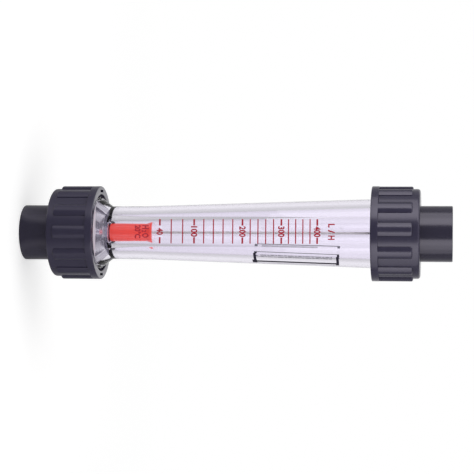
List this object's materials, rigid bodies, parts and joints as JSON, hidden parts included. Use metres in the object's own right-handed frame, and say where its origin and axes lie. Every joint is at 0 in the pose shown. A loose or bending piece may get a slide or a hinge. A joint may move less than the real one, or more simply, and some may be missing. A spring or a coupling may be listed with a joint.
{
  "type": "rotameter",
  "caption": "Variable-area flow meter: clear tapered tube with a printed scale, a red float on a guide rod and a ribbed union nut with a pipe socket at each end.",
  "frame": {"origin": "centre of the inlet end face of the lower tail piece", "axes": "+Z along the tube, from the inlet (narrow) end to the outlet (wide) end; the printed scale faces -Y"},
  "size_m": [0.046, 0.046, 0.211],
  "materials": {
    "clear_tube": "clear, polished, moulded",
    "red_float": "glossy moulded",
    "rod_steel": "drawn",
    "guide_plastic": "satin moulded",
    "tail_plastic": "satin moulded, dark slate grey",
    "nut_plastic": "satin moulded, dark slate grey",
    "seal_rubber": "plain",
    "scale_print": "dark red screen print",
    "frame_print": "black screen print"
  },
  "bodies": {
    "meter": {"measuring_tube": "clear_tube", "guide_rod": "rod_steel", "lower_guide": "guide_plastic", "upper_guide": "guide_plastic", "lower_stop": "seal_rubber", "upper_stop": "seal_rubber", "lower_tail": "tail_plastic", "upper_tail": "tail_plastic", "lower_o_ring": "seal_rubber", "upper_o_ring": "seal_rubber"},
    "float": {"float": "red_float"},
    "lower_nut": {"lower_nut": "nut_plastic"},
    "upper_nut": {"upper_nut": "nut_plastic"}
  },
  "joints": [
    {"name": "float_slide", "type": "slide", "parent": "meter", "child": "float", "axis": [0, 0, 1], "range_m": [0, 0.108]},
    {"name": "lower_nut_turn", "type": "hinge", "parent": "meter", "child": "lower_nut", "pos_m": [0, 0, 0.027], "axis": [0, 0, -1], "range_deg": [0, 1620]},
    {"name": "upper_nut_turn", "type": "hinge", "parent": "meter", "child": "upper_nut", "pos_m": [0, 0, 0.184], "axis": [0, 0, 1], "range_deg": [0, 1620]}
  ]
}
